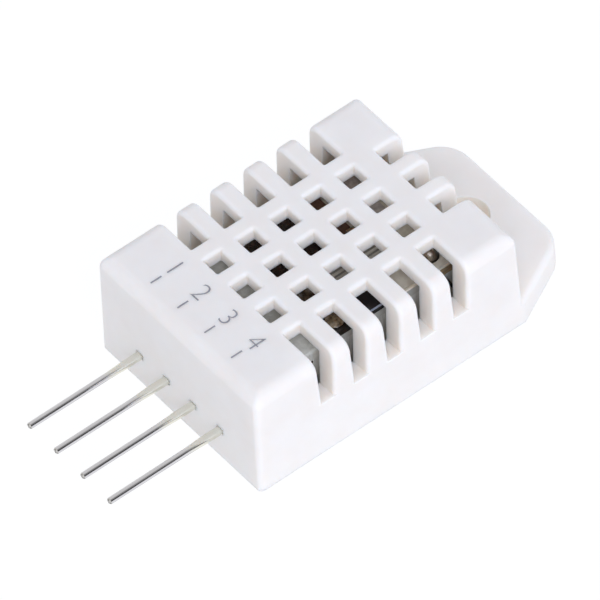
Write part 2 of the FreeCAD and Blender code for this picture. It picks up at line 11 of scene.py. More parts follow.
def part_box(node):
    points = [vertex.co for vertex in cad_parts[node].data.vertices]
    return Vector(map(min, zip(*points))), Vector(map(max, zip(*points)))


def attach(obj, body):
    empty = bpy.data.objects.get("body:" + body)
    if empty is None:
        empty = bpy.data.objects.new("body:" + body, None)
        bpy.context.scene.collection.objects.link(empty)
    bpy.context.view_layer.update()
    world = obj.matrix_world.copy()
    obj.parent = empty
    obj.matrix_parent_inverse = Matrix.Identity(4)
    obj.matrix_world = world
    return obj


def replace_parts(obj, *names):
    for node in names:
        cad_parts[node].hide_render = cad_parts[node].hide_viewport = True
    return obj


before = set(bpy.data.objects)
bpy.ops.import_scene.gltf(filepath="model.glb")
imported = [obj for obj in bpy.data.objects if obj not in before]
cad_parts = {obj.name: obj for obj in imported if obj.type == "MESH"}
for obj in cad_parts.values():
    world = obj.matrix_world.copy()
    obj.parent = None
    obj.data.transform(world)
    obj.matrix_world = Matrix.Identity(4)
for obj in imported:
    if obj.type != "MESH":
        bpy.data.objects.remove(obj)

log = logging.getLogger("humidity_sensor")

Hex = str
Colour = tuple[float, float, float, float]
Socket = bpy.types.NodeSocket
Tree = bpy.types.NodeTree

MM = 0.001
# Corners of a copied or turned mesh that lie closer than this, in metres, are one.
WELD = 1e-7
# Numbers of the Mix node's colour sockets: its two inputs and its result.
FIRST, SECOND, MIXED = 6, 7, 2
# Octaves of finer grain in a noise pattern, and their strength.
FINER = {"Detail": 3.0, "Roughness": 0.55}
# Most values of such a pattern lie in this range.
NOISE_REACH = (0.3, 0.7)
# How far a ragged border wanders along Y, in metres.
RAGGED = 1.2 * MM
# The Wave texture repeats each time that its scaled place grows by a full turn over this number.
WAVE_TURNS = 20.0
PINS = ("supply_pin", "data_pin", "spare_pin", "ground_pin")


class Surface(Enum):
    """What a finish is: a dielectric, a metal, or a metal that is bare in places only."""

    DIELECTRIC = 0.0
    METAL = 1.0
    PARTLY_METAL = 0.5


# Small helpers

def linear(tone: Hex) -> Colour:
    """Turn an sRGB hex value into a linear colour.

    Args:
        tone: Six hex digits, such as "E6E6E8".

    Returns:
        Linear red, green, blue and an alpha of 1.
    """
    parts = [int(tone[i:i + 2], 16) / 255 for i in (0, 2, 4)]
    red, green, blue = [c / 12.92 if c <= 0.04045 else ((c + 0.055) / 1.055) ** 2.4 for c in parts]
    return (red, green, blue, 1.0)


def add_node(tree: Tree, kind: str, inputs: dict | None = None, **settings: object) -> bpy.types.Node:
    """Add one node with its settings and links.

    Args:
        tree: The node tree that takes the node.
        kind: The node's type name without its "ShaderNode" start.
        inputs: Values or sockets by input name or number; a socket is linked, a value is set.
        **settings: Properties of the node itself.

    Returns:
        The new node.
    """
    node = tree.nodes.new("ShaderNode" + kind)
    for name, value in settings.items():
        setattr(node, name, value)
    for key, value in (inputs or {}).items():
        if isinstance(value, bpy.types.NodeSocket):
            tree.links.new(value, node.inputs[key])
        else:
            node.inputs[key].default_value = value
    return node


def per_mm(size_mm: float) -> float:
    """Scale of a pattern whose grain has this real size."""
    return 1 / (size_mm * MM)


def clouds(tree: Tree, where: Socket, size_mm: float, reach: tuple[float, float] = NOISE_REACH) -> Socket:
    """Noise of a real grain size, spread over the whole range from 0 to 1.

    Args:
        tree: The material's node tree.
        where: Coordinates in metres.
        size_mm: Size of one grain.
        reach: Noise values that become 0 and 1.

    Returns:
        The pattern.
    """
    grain = add_node(tree, "TexNoise", {"Vector": where, "Scale": per_mm(size_mm), **FINER}).outputs["Fac"]
    return add_node(tree, "MapRange", {"Value": grain, "From Min": reach[0], "From Max": reach[1],
                                       "To Min": 0.0, "To Max": 1.0}).outputs["Result"]


def along(tree: Tree, where: Socket, axis: str, start: float, end: float, low: float = 0.0,
          high: float = 1.0) -> Socket:
    """Value that changes along one axis of a place or a direction.

    Args:
        tree: The material's node tree.
        where: The place, in metres, or the direction.
        axis: "X", "Y" or "Z".
        start: Coordinate up to which the value is low.
        end: Coordinate from which on it is high.
        low: The value before the change.
        high: The value after it.

    Returns:
        The value.
    """
    part = add_node(tree, "SeparateXYZ", {0: where}).outputs[axis]
    return add_node(tree, "MapRange", {"Value": part, "From Min": start, "From Max": end,
                                       "To Min": low, "To Max": high}).outputs["Result"]


def ragged_along(tree: Tree, where: Socket, size_mm: float, start: float, end: float, low: float = 0.0,
                 high: float = 1.0) -> Socket:
    """Value that changes along Y over a ragged border.

    Args:
        tree: The material's node tree.
        where: Coordinates in metres.
        size_mm: Size of the border's jags.
        start: Place up to which the value is low, with the jags added.
        end: Place from which on it is high.
        low: The value before the change.
        high: The value after it.

    Returns:
        The value.
    """
    grain = add_node(tree, "TexNoise", {"Vector": where, "Scale": per_mm(size_mm), **FINER}).outputs["Fac"]
    place = add_node(tree, "SeparateXYZ", {0: where}).outputs["Y"]
    jagged = add_node(tree, "Math", {0: grain, 1: RAGGED, 2: place}, operation="MULTIPLY_ADD").outputs[0]
    return add_node(tree, "MapRange", {"Value": jagged, "From Min": start, "From Max": end,
                                       "To Min": low, "To Max": high}).outputs["Result"]


def by_level(tree: Tree, start: float, end: float, low: float = 0.0, high: float = 1.0) -> Socket:
    """Value by how level a face lies, whether it looks up or down.

    Args:
        tree: The material's node tree.
        start: Upright part of the normal up to which the value is low.
        end: Upright part from which on it is high.
        low: The value on upright faces.
        high: The value on level faces.

    Returns:
        The value.
    """
    normal = add_node(tree, "TexCoord").outputs["Normal"]
    upward = add_node(tree, "SeparateXYZ", {0: normal}).outputs["Z"]
    level = add_node(tree, "Math", {0: upward}, operation="ABSOLUTE").outputs[0]
    return add_node(tree, "MapRange", {"Value": level, "From Min": start, "From Max": end,
                                       "To Min": low, "To Max": high}).outputs["Result"]


# Finishes

@dataclass(frozen=True)
class Finish:
    """One material: two close tones, a roughness range and a fine relief, all from a real grain size."""

    name: str
    tone: Hex
    second_tone: Hex
    tone_grain_mm: float
    roughness: tuple[float, float]
    relief_grain_mm: float
    relief_mm: float
    surface: Surface = Surface.DIELECTRIC
    ior: float = 1.5
    coat: float = 0.0
    coat_roughness: float = 0.1
    scatter: float = 0.0
    scatter_mm: float = 0.5
    scatter_reach: tuple[float, float, float] = (1.0, 0.9, 0.82)
    wear_share: float = 0.7

    def make(self) -> bpy.types.Material:
        """Build the material.

        Returns:
            The material with its nodes.
        """
        material = bpy.data.materials.new(self.name)
        material.use_nodes = True
        tree = material.node_tree
        shader = tree.nodes["Principled BSDF"]
        where = add_node(tree, "TexCoord").outputs["Object"]
        tree.links.new(self.colour(tree, where), shader.inputs["Base Color"])
        smooth, rough = self.roughness
        worn = add_node(tree, "MapRange", {"Value": self.wear(tree, where), "From Min": NOISE_REACH[0],
                                           "From Max": NOISE_REACH[1], "To Min": smooth, "To Max": rough})
        tree.links.new(worn.outputs["Result"], shader.inputs["Roughness"])
        bump = add_node(tree, "Bump", {"Height": self.relief(tree, where), "Distance": self.relief_mm * MM,
                                       "Strength": 1.0})
        tree.links.new(bump.outputs["Normal"], shader.inputs["Normal"])
        shader.inputs["Metallic"].default_value = self.surface.value
        if self.surface is Surface.DIELECTRIC:
            shader.inputs["IOR"].default_value = self.ior
        if self.surface is Surface.PARTLY_METAL:
            tree.links.new(self.bare(tree, where), shader.inputs["Metallic"])
        shader.inputs["Coat Weight"].default_value = self.coat
        shader.inputs["Coat Roughness"].default_value = self.coat_roughness
        shader.inputs["Subsurface Weight"].default_value = self.scatter
        shader.inputs["Subsurface Radius"].default_value = self.scatter_reach
        shader.inputs["Subsurface Scale"].default_value = self.scatter_mm * MM
        return material

    def colour(self, tree: Tree, where: Socket) -> Socket:
        """Colour pattern: the two tones, mixed by soft noise."""
        return add_node(tree, "Mix", {"Factor": clouds(tree, where, self.tone_grain_mm),
                                      FIRST: linear(self.tone), SECOND: linear(self.second_tone)},
                        data_type="RGBA").outputs[MIXED]

    def wear(self, tree: Tree, where: Socket) -> Socket:
        """Pattern that the roughness follows, a little finer than the colour's."""
        size_mm = self.tone_grain_mm * self.wear_share
        return add_node(tree, "TexNoise", {"Vector": where, "Scale": per_mm(size_mm), **FINER}).outputs["Fac"]

    def relief(self, tree: Tree, where: Socket) -> Socket:
        """Pattern that the bump follows."""
        return add_node(tree, "TexNoise", {"Vector": where, "Scale": per_mm(self.relief_grain_mm),
                                           **FINER}).outputs["Fac"]

    def bare(self, tree: Tree, where: Socket) -> Socket:
        """1 where the metal of a partly bare finish shows."""
        return clouds(tree, where, self.tone_grain_mm)


@dataclass(frozen=True)
class SparkedPlastic(Finish):
    """Moulded plastic whose mould was spark-eroded: tiny rounded pits under slow flow waves."""

    flow_mm: float = 3.0
    flow_height: float = 4.0
    pit_detail: float = 2.0
    flow_detail: float = 1.0

    def relief(self, tree: Tree, where: Socket) -> Socket:
        """Fine pits, with slow waves where the plastic flowed, a few times as high."""
        layers = []
        for size_mm, detail in ((self.relief_grain_mm, self.pit_detail), (self.flow_mm, self.flow_detail)):
            layers.append(add_node(tree, "TexNoise", {"Vector": where, "Scale": per_mm(size_mm), **FINER,
                                                      "Detail": detail}).outputs["Fac"])
        pits, waves = layers
        return add_node(tree, "Math", {0: waves, 1: self.flow_height, 2: pits},
                        operation="MULTIPLY_ADD").outputs[0]


@dataclass(frozen=True)
class HighlitEdgeMoulding(SparkedPlastic):
    """Moulded plastic with a painted highlight: paler on the narrow slanted faces round the top."""

    # Painted highlight: the tone of the slanted faces round the top, where the edge catches light.
    edge_highlight_tone: Hex = "8A8F98"
    slant_start: tuple[float, float] = (0.35, 0.5)
    slant_end: tuple[float, float] = (0.85, 0.95)

    def colour(self, tree: Tree, where: Socket) -> Socket:
        """Moulded colour, with a painted highlight, paler, on the narrow slanted faces round the top."""
        normal = add_node(tree, "TexCoord").outputs["Normal"]
        slanted = add_node(tree, "Math", {0: along(tree, normal, "Z", *self.slant_start),
                                          1: along(tree, normal, "Z", *self.slant_end, 1.0, 0.0)},
                           operation="MULTIPLY").outputs[0]
        return add_node(tree, "Mix", {"Factor": slanted, FIRST: super().colour(tree, where),
                                      SECOND: linear(self.edge_highlight_tone)}, data_type="RGBA").outputs[MIXED]


@dataclass(frozen=True)
class PrintedBoard(Finish):
    """Board laminate: mask over a glass weave, brown sawn edges, grey resin run over part of the edge."""

    edge_tone: Hex = "A08A68"
    edge_second_tone: Hex = "6A5940"
    layer_mm: float = 0.12
    layer_run: tuple[float, float, float] = (0.15, 0.15, 1.0)
    smear_tone: Hex = "BAB8AD"
    smear_end_y_mm: float = 4.6
    smear_jag_mm: float = 0.5
    # Painted shade: a darker mask tone beside the humidity element stands in for the plate's shadow on the
    # board.
    plate_shade_tone: Hex = "989082"
    plate_shade_x_mm: tuple[float, float] = (-0.1, 2.1)
    plate_shade_end_y_mm: float = 5.2
    border_mm: float = 0.1
    face_turn: tuple[float, float] = (0.4, 0.6)
    weave_mm: float = 0.3
    weave_bend: float = 0.6

    def plate_shaded(self, tree: Tree, where: Socket) -> Socket:
        """1 over the painted shade on the mask beside the humidity element, where the standing plate shades
        the board.
        """
        left, right = (x * MM for x in self.plate_shade_x_mm)
        end, border = self.plate_shade_end_y_mm * MM, self.border_mm * MM
        beside = add_node(tree, "Math", {0: along(tree, where, "X", left, left + border),
                                         1: along(tree, where, "X", right, right + border, 1.0, 0.0)},
                          operation="MULTIPLY").outputs[0]
        return add_node(tree, "Math", {0: beside, 1: along(tree, where, "Y", end, end + border, 1.0, 0.0)},
                        operation="MULTIPLY").outputs[0]

    def sawn(self, tree: Tree, where: Socket) -> Socket:
        """Layered resin of the sawn edges, smeared with grey towards the pins."""
        layered = add_node(tree, "Mapping", {"Vector": where, "Scale": self.layer_run}).outputs[0]
        clean = add_node(tree, "Mix", {"Factor": clouds(tree, layered, self.layer_mm),
                                       FIRST: linear(self.edge_tone), SECOND: linear(self.edge_second_tone)},
                         data_type="RGBA").outputs[MIXED]
        end, border = self.smear_end_y_mm * MM + RAGGED / 2, self.border_mm * MM
        smear = ragged_along(tree, where, self.smear_jag_mm, end - border, end + border, 1.0, 0.0)
        return add_node(tree, "Mix", {"Factor": smear, FIRST: clean, SECOND: linear(self.smear_tone)},
                        data_type="RGBA").outputs[MIXED]

    def colour(self, tree: Tree, where: Socket) -> Socket:
        """Mask colour on the faces, with painted shade beside the humidity element, layered resin on the sawn
        edges.
        """
        mask = add_node(tree, "Mix", {"Factor": self.plate_shaded(tree, where), FIRST: super().colour(tree, where),
                                      SECOND: linear(self.plate_shade_tone)}, data_type="RGBA").outputs[MIXED]
        return add_node(tree, "Mix", {"Factor": by_level(tree, *self.face_turn),
                                      FIRST: self.sawn(tree, where), SECOND: mask},
                        data_type="RGBA").outputs[MIXED]

    def relief(self, tree: Tree, where: Socket) -> Socket:
        """Two crossed rows of glass threads under the mask."""
        scale = 2 * math.pi / WAVE_TURNS * per_mm(self.weave_mm)
        rows = []
        for axis in ("X", "Y"):
            wave = add_node(tree, "TexWave", {"Vector": where, "Scale": scale, "Distortion": self.weave_bend},
                            wave_type="BANDS", bands_direction=axis)
            rows.append(wave.outputs["Fac"])
        return add_node(tree, "Math", {0: rows[0], 1: rows[1]}, operation="MULTIPLY").outputs[0]


@dataclass(frozen=True)
class MaskedTrack(Finish):
    """Copper track: gold flashed on the bare line at the board's edge, whose near-white colour is a painted
    highlight, under solder mask further in.
    """

    mask_tone: Hex = "D2CAB9"
    bare_from_x_mm: float = 4.5
    narrow_from_x_mm: float = 5.0
    narrow_from_y_mm: float = 4.6
    narrowing_mm: float = 0.2
    border_mm: float = 0.01

    def bare(self, tree: Tree, where: Socket) -> Socket:
        """1 on the bare line at the edge, which narrows towards the ear end."""
        change = self.narrow_from_y_mm * MM
        edge = along(tree, where, "Y", change, change + self.narrowing_mm * MM, self.bare_from_x_mm * MM,
                     self.narrow_from_x_mm * MM)
        place = add_node(tree, "SeparateXYZ", {0: where}).outputs["X"]
        beyond = add_node(tree, "Math", {0: place, 1: edge}, operation="SUBTRACT").outputs[0]
        return add_node(tree, "MapRange", {"Value": beyond, "From Min": -self.border_mm * MM, "From Max": 0.0,
                                           "To Min": 0.0, "To Max": 1.0}).outputs["Result"]

    def colour(self, tree: Tree, where: Socket) -> Socket:
        """Near-white where the track is bare, a painted highlight on the gold, mask colour elsewhere."""
        return add_node(tree, "Mix", {"Factor": self.bare(tree, where), FIRST: linear(self.mask_tone),
                                      SECOND: super().colour(tree, where)}, data_type="RGBA").outputs[MIXED]


@dataclass(frozen=True)
class PouredResin(Finish):
    """Filled resin poured against the walls: cloudy on top, drawn down in faint streaks on its sides."""

    streak_tone: Hex = "DAD8CE"
    streak_mm: float = 0.16
    streak_run: tuple[float, float, float] = (1.0, 1.0, 0.12)
    streak_reach: tuple[float, float] = (0.42, 0.62)
    side_turn: tuple[float, float] = (0.3, 0.6)

    def colour(self, tree: Tree, where: Socket) -> Socket:
        """Clouds of filler, with upright streaks on the sides."""
        drawn_down = add_node(tree, "Mapping", {"Vector": where, "Scale": self.streak_run}).outputs[0]
        streaks = add_node(tree, "Math", {0: clouds(tree, drawn_down, self.streak_mm, self.streak_reach),
                                          1: by_level(tree, *self.side_turn, 1.0, 0.0)},
                           operation="MULTIPLY").outputs[0]
        return add_node(tree, "Mix", {"Factor": streaks, FIRST: super().colour(tree, where),
                                      SECOND: linear(self.streak_tone)}, data_type="RGBA").outputs[MIXED]


@dataclass(frozen=True)
class DrawnTin(Finish):
    """Tinned strip: fine marks along its length, dull near the body, dark where the tip was sheared."""

    mark_run: tuple[float, float, float] = (1.0, 0.04, 1.0)
    dull_tone: Hex = "E8E7DC"
    dull_end_y_mm: float = -12.0
    dull_jag_mm: float = 0.6
    dull_border_mm: float = 0.9
    dull_wear: float = 1.6
    tip_y_mm: float = -18.2
    sheared_mm: float = 0.1
    sheared_tone: Hex = "C6C4C1"
    # Painted reflection: faces that look down are darker, standing in for the dark mirrored below the pin.
    painted_under_shade_tone: Hex = "7C7C7F"
    painted_under_shade_turn: tuple[float, float] = (-0.4, -0.05)

    def drawn_out(self, tree: Tree, where: Socket) -> Socket:
        """Coordinates in which a pattern runs long along Y."""
        return add_node(tree, "Mapping", {"Vector": where, "Scale": self.mark_run}).outputs[0]

    def dullness(self, tree: Tree, where: Socket) -> Socket:
        """1 at the root of the pin, 0 past its dull end."""
        start = self.dull_end_y_mm * MM
        return ragged_along(tree, where, self.dull_jag_mm, start, start + self.dull_border_mm * MM)

    def colour(self, tree: Tree, where: Socket) -> Socket:
        """Bright tin with drawn streaks, dull at the root, grey at the sheared tip, and darker on faces that
        look down: a painted dark reflection of what lies below the pin.
        """
        streaks = clouds(tree, self.drawn_out(tree, where), self.relief_grain_mm)
        layer = add_node(tree, "Mix", {"Factor": streaks, FIRST: linear(self.tone),
                                       SECOND: linear(self.second_tone)}, data_type="RGBA").outputs[MIXED]
        normal = add_node(tree, "TexCoord").outputs["Normal"]
        tip, sheared = self.tip_y_mm * MM, self.sheared_mm * MM
        changes = ((along(tree, normal, "Z", *self.painted_under_shade_turn, 1.0, 0.0), self.painted_under_shade_tone),
                   (along(tree, where, "Y", tip + sheared / 2, tip + sheared, 1.0, 0.0), self.sheared_tone),
                   (self.dullness(tree, where), self.dull_tone))
        for share, tone in changes:
            layer = add_node(tree, "Mix", {"Factor": share, FIRST: layer, SECOND: linear(tone)},
                             data_type="RGBA").outputs[MIXED]
        return layer

    def wear(self, tree: Tree, where: Socket) -> Socket:
        """Rougher where the tin is dull."""
        return add_node(tree, "Math", {0: self.dullness(tree, where), 1: self.dull_wear,
                                       2: self.relief(tree, where)}, operation="MULTIPLY_ADD").outputs[0]

    def relief(self, tree: Tree, where: Socket) -> Socket:
        """The drawn marks stand as fine ridges."""
        return super().relief(tree, self.drawn_out(tree, where))


# White ABS, injection moulded in a spark-eroded mould: soft even sheen with no sharp highlight.
WHITE_ABS = SparkedPlastic("moulded_white_abs", "F4ECE0", "F1E8DB", 2.2, (0.5, 0.6), 0.12, 0.004,
                           ior=1.53, scatter=1.0, scatter_mm=0.6)
# The cover is the same ABS from a smoother mould half, with a slightly warmer, flatter look.
COVER_ABS = SparkedPlastic("moulded_cover_abs", "E6E3DF", "E2DFDB", 3.0, (0.46, 0.58), 0.15, 0.006,
                           ior=1.53, scatter=0.3, scatter_mm=0.6)
# Clear glue, cured in the joint: a wet-looking yellowish line.
CURED_GLUE = Finish("cured_clear_epoxy", "CFC9AE", "C4BD9C", 0.5, (0.15, 0.25), 0.3, 0.01, coat=0.5)
# Grey filled nylon, moulded: dry, with faint upright runs of lighter resin.
GREY_NYLON = PouredResin("moulded_grey_nylon", "C6C4BA", "B2B0A5", 0.5, (0.45, 0.6), 0.2, 0.01,
                         streak_tone="D6D4CB")
# Pale olive solder mask over woven glass laminate: satin faces, brown sawn edges.
LAMINATE = PrintedBoard("masked_glass_laminate", "DAD1BB", "C5B9A3", 0.8, (0.28, 0.42), 0.2, 0.012, coat=0.25)
# Gold flashed copper under a partly open mask: one thin line at the edge, painted near-white as a highlight,
# dull lines further in.
GOLD_TRACK_HIGHLIT = MaskedTrack("flashed_gold_copper_painted_highlight", "FFFEF8", "FCF7EA", 0.4, (0.42, 0.58), 0.1, 0.003, coat=1.0,
                         surface=Surface.PARTLY_METAL)
# Gold flashed copper fingers, screened: soft yellow metal.
GOLD_FINGER = Finish("screened_gold_fingers", "D9C282", "C9B070", 0.4, (0.25, 0.4), 0.1, 0.003,
                     surface=Surface.METAL)
# Tinned brass strip, stamped and drawn: mirror with streaks along it, dull near the body.
TINNED_PIN = DrawnTin("drawn_tinned_brass", "E0DFE2", "D2D1D5", 0.3, (0.08, 0.16), 0.07, 0.0006,
                      surface=Surface.METAL)
# Tin solder, melted and set: bright skin with soft wrinkles.
SOLDER = Finish("reflowed_tin_solder", "BDB1A3", "8F8272", 0.2, (0.38, 0.55), 0.25, 0.03,
                surface=Surface.METAL)
# Glossy near-black, for the flat ring round each wire joint and the pinhole's painted shade.
NEAR_BLACK_GLOSS = Finish("glossy_near_black", "15120E", "241C12", 0.2, (0.12, 0.25), 0.2, 0.01, coat=0.5)
# Grey filled epoxy, poured and cured: satin skin with clouds of filler.
SEALING = PouredResin("poured_grey_epoxy", "E0DDCF", "C9C6B7", 0.35, (0.4, 0.6), 0.35, 0.06, ior=1.52)
# Brown phenolic paper plate, pressed: dry and slightly fibrous.
PHENOLIC = Finish("pressed_brown_phenolic", "6A4A38", "4A3226", 0.3, (0.45, 0.6), 0.15, 0.01)
# Dark polymer film, poured and dried: glossy near-black skin with brown clouds and soft ripples.
FILM = Finish("poured_dark_polymer", "1C1A1A", "3C322B", 0.3, (0.1, 0.3), 0.3, 0.03, coat=0.4)
# Black epoxy, transfer moulded and tumbled: satin black, with a blue-grey painted highlight on the slanted
# faces round the top.
CHIP_EPOXY = HighlitEdgeMoulding("moulded_black_epoxy", "101216", "171A1F", 0.4, (0.12, 0.22), 0.1, 0.003,
                            flow_mm=0.8, coat=0.4)
# Black polyester cup, moulded: glossy black.
CUP_BLACK = SparkedPlastic("moulded_black_polyester", "141312", "1C1A18", 0.4, (0.14, 0.26), 0.12, 0.003,
                           flow_mm=0.6)
# Brown epoxy bead, dipped: glassy lump with dark clouds and bright flecks of filler.
BEAD = Finish("dipped_brown_epoxy", "8F7A5A", "3A2C1E", 0.3, (0.08, 0.2), 0.18, 0.05, coat=0.8)
# Brown adhesive, dotted on and set: dark glossy drop with a few paler runs.
GLUE_DOT = Finish("set_brown_adhesive", "2A221B", "7A664C", 0.5, (0.12, 0.25), 0.25, 0.03, coat=0.6)
# Tinned copper leads, formed: bright and slightly scratched.
TINNED_LEAD = Finish("formed_tinned_copper", "D2D1CE", "BFBEBA", 0.25, (0.2, 0.36), 0.12, 0.004,
                     surface=Surface.METAL)
# Fired ceramic, tumbled: dry grey-tan body.
CAPACITOR = Finish("fired_tan_ceramic", "9A8C7E", "7D7064", 0.25, (0.4, 0.55), 0.12, 0.006)
# Alumina resistor, fired and soldered film side down: its pale dry back shows.
RESISTOR = Finish("fired_alumina_resistor", "C4B9AC", "A69B8F", 0.3, (0.4, 0.55), 0.3, 0.006)
# Tinned end caps, barrel plated: soft grainy silver.
PLATED_CAP = Finish("barrel_plated_tin", "CFCFCD", "BBBBB8", 0.18, (0.3, 0.45), 0.12, 0.008,
                    surface=Surface.METAL)
# Black fluoropolymer jacket, extruded: slick black with soft highlights.
JACKET = Finish("extruded_black_jacket", "1C1B1A", "262422", 0.5, (0.25, 0.4), 0.4, 0.004)
# Grey pad ink, printed in one pass: thin and slightly uneven.
PAD_INK = Finish("pad_printed_grey_ink", "8A8786", "9C9998", 0.25, (0.5, 0.65), 0.12, 0.002)


def material_of(finish: Finish, made: dict[str, bpy.types.Material]) -> bpy.types.Material:
    """Give a finish's material, built on first use.

    Args:
        finish: The finish.
        made: Materials made so far, by name.

    Returns:
        The material.
    """
    if finish.name not in made:
        made[finish.name] = finish.make()
    return made[finish.name]


def dress(node: str, finish: Finish, made: dict[str, bpy.types.Material]) -> None:
    """Give a CAD node its material.

    Args:
        node: Name of the node.
        finish: Its finish.
        made: Materials made so far, by name.
    """
    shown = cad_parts[node]
    for slot in shown.material_slots:
        slot.material = material_of(finish, made)
    if not shown.material_slots:
        shown.data.materials.append(material_of(finish, made))
    log.info("%s wears %s", node, finish.name)


def piece(name: str, mesh: bmesh.types.BMesh, finish: Finish, made: dict[str, bpy.types.Material],
          smooth_angle: float = 40.0) -> bpy.types.Object:
    """Turn a finished bmesh into an object that rides on the root body.

    Args:
        name: The piece's name.
        mesh: Its bmesh, in metres and in place; freed here.
        finish: Its finish.
        made: Materials made so far, by name.
        smooth_angle: Edges sharper than this many degrees stay sharp.

    Returns:
        The new object.
    """
    bmesh.ops.recalc_face_normals(mesh, faces=mesh.faces)
    for face in mesh.faces:
        face.smooth = True
    for edge in mesh.edges:
        edge.smooth = edge.calc_face_angle(math.pi) < math.radians(smooth_angle)
    data = bpy.data.meshes.new(name)
    mesh.to_mesh(data)
    mesh.free()
    data.materials.append(material_of(finish, made))
    made_object = bpy.data.objects.new(name, data)
    bpy.context.scene.collection.objects.link(made_object)
    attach(made_object, "root")
    log.info("%s made with %d faces", name, len(data.polygons))
    return made_object


@dataclass(frozen=True)
class Softening:
    """How the sharp edges of a copied CAD node are rounded."""

    radius: float
    segments: int = 3
    sharper_than: float = 60.0
    flat_below: float = 1.0


def soften(node: str, name: str, finish: Finish, how: Softening,
           made: dict[str, bpy.types.Material]) -> None:
    """Show a CAD node as a copy whose sharp edges are rounded.

    Args:
        node: The CAD node that the copy replaces.
        name: Name of the copy.
        finish: Its finish.
        how: Which edges are rounded and how far.
        made: Materials made so far, by name.
    """
    mesh = bmesh.new()
    mesh.from_mesh(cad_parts[node].data)
    bmesh.ops.remove_doubles(mesh, verts=mesh.verts, dist=WELD)
    bmesh.ops.dissolve_limit(mesh, angle_limit=math.radians(how.flat_below), verts=mesh.verts,
                             edges=mesh.edges)
    sharp = [e for e in mesh.edges if e.calc_face_angle(0.0) > math.radians(how.sharper_than)]
    bmesh.ops.bevel(mesh, geom=sharp, offset=how.radius, affect="EDGES", segments=how.segments, profile=0.5,
                    material=-1)
    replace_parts(piece(name, mesh, finish, made), node)


def turned(outline: list[tuple[float, float]], centre: Vector, steps: int) -> bmesh.types.BMesh:
    """Spin an outline round an upright axis.

    Args:
        outline: Radius and height of each point, from the axis or back to it.
        centre: Foot of the axis.
        steps: Steps round the axis.

    Returns:
        The closed bmesh.
    """
    mesh = bmesh.new()
    points = [mesh.verts.new(centre + Vector((radius, 0, height))) for radius, height in outline]
    edges = [mesh.edges.new(pair) for pair in zip(points, points[1:])]
    bmesh.ops.spin(mesh, geom=points + edges, cent=centre, axis=(0, 0, 1), angle=2 * math.pi, steps=steps,
                   use_merge=True, use_duplicate=False)
    bmesh.ops.remove_doubles(mesh, verts=mesh.verts, dist=WELD)
    return mesh


@dataclass
class Case:
    """The white front case, its cover and the glue between them, with the pin numbers printed on top."""

    made: dict[str, bpy.types.Material]
    number_height: float = 1.3 * MM
    height_share: float = 0.7
    thinning: float = 0.022
    number_y: float = -6.9 * MM
    bar_y: float = -8.25 * MM
    bar_width: float = 0.1 * MM
    bar_length: float = 0.8 * MM
    ink_thickness: float = 0.008 * MM

    def build(self) -> None:
        """Dress the shell and print the pin numbers."""
        dress("front_case", WHITE_ABS, self.made)
        dress("back_cover", COVER_ABS, self.made)
        dress("cover_adhesive", CURED_GLUE, self.made)
        self.print_numbers()

    def print_numbers(self) -> None:
        """Print 1 to 4 in plain strokes over the pins, each with a short bar that points at its pin."""
        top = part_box("front_case")[1].z
        for i, pin in enumerate(PINS):
            low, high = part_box(pin)
            x = (low.x + high.x) / 2
            mesh = self.digit(str(i + 1), Vector((x, self.number_y, top)))
            stroke = Matrix.Translation((x, self.bar_y, top + self.ink_thickness / 2))
            size = Matrix.Diagonal((self.bar_width, self.bar_length, self.ink_thickness, 1.0))
            bmesh.ops.create_cube(mesh, size=1.0, matrix=stroke @ size)
            piece("pin_number_%d" % (i + 1), mesh, PAD_INK, self.made)

    def digit(self, text: str, place: Vector) -> bmesh.types.BMesh:
        """Make one plain digit as a thin layer of ink.

        Args:
            text: The digit.
            place: Middle of the digit on the face.

        Returns:
            The bmesh, in place.
        """
        font = bpy.data.curves.new("digit", "FONT")
        font.body = text
        font.size = self.number_height / self.height_share
        font.align_x = "CENTER"
        font.align_y = "CENTER"
        font.offset = -self.thinning * font.size
        font.extrude = self.ink_thickness / 2
        holder = bpy.data.objects.new("digit", font)
        flat = bpy.data.meshes.new_from_object(holder)
        mesh = bmesh.new()
        mesh.from_mesh(flat)
        bmesh.ops.remove_doubles(mesh, verts=mesh.verts, dist=WELD)
        bmesh.ops.translate(mesh, verts=mesh.verts, vec=place + Vector((0, 0, self.ink_thickness / 2)))
        bpy.data.objects.remove(holder)
        bpy.data.curves.remove(font)
        bpy.data.meshes.remove(flat)
        return mesh


@dataclass
class Contacts:
    """The four pins, with the rolled edges of drawn and tinned strip."""

    made: dict[str, bpy.types.Material]
    rolled: Softening = Softening(0.15 * MM, 8)

    def build(self) -> None:
        """Replace each pin by a copy with rolled edges."""
        for pin in PINS:
            soften(pin, pin + "_strip", TINNED_PIN, self.rolled, self.made)


@dataclass
class BoardAssembly:
    """The board with its carrier, tracks, chips and small parts."""

    made: dict[str, bpy.types.Material]
    chip_edge: Softening = Softening(0.08 * MM, 1)
    track_edge: Softening = Softening(0.04 * MM, 3)

    def build(self) -> None:
        """Dress the board and what is soldered to it."""
        worn = {"board_carrier": GREY_NYLON, "circuit_board": LAMINATE, "pin_solder_joints": SOLDER,
                "memory_chip_leads": TINNED_LEAD, "controller_chip": CHIP_EPOXY,
                "controller_leads": TINNED_LEAD, "capacitor_bodies": CAPACITOR,
                "capacitor_caps": PLATED_CAP, "resistor_bodies": RESISTOR, "resistor_caps": PLATED_CAP,
                "jumper_wire": JACKET, "sealing_compound": SEALING}
        for node, finish in worn.items():
            dress(node, finish, self.made)
        soften("memory_chip", "memory_chip_moulding", CHIP_EPOXY, self.chip_edge, self.made)
        soften("board_tracks", "board_track_copper", GOLD_TRACK_HIGHLIT, self.track_edge,
               self.made)


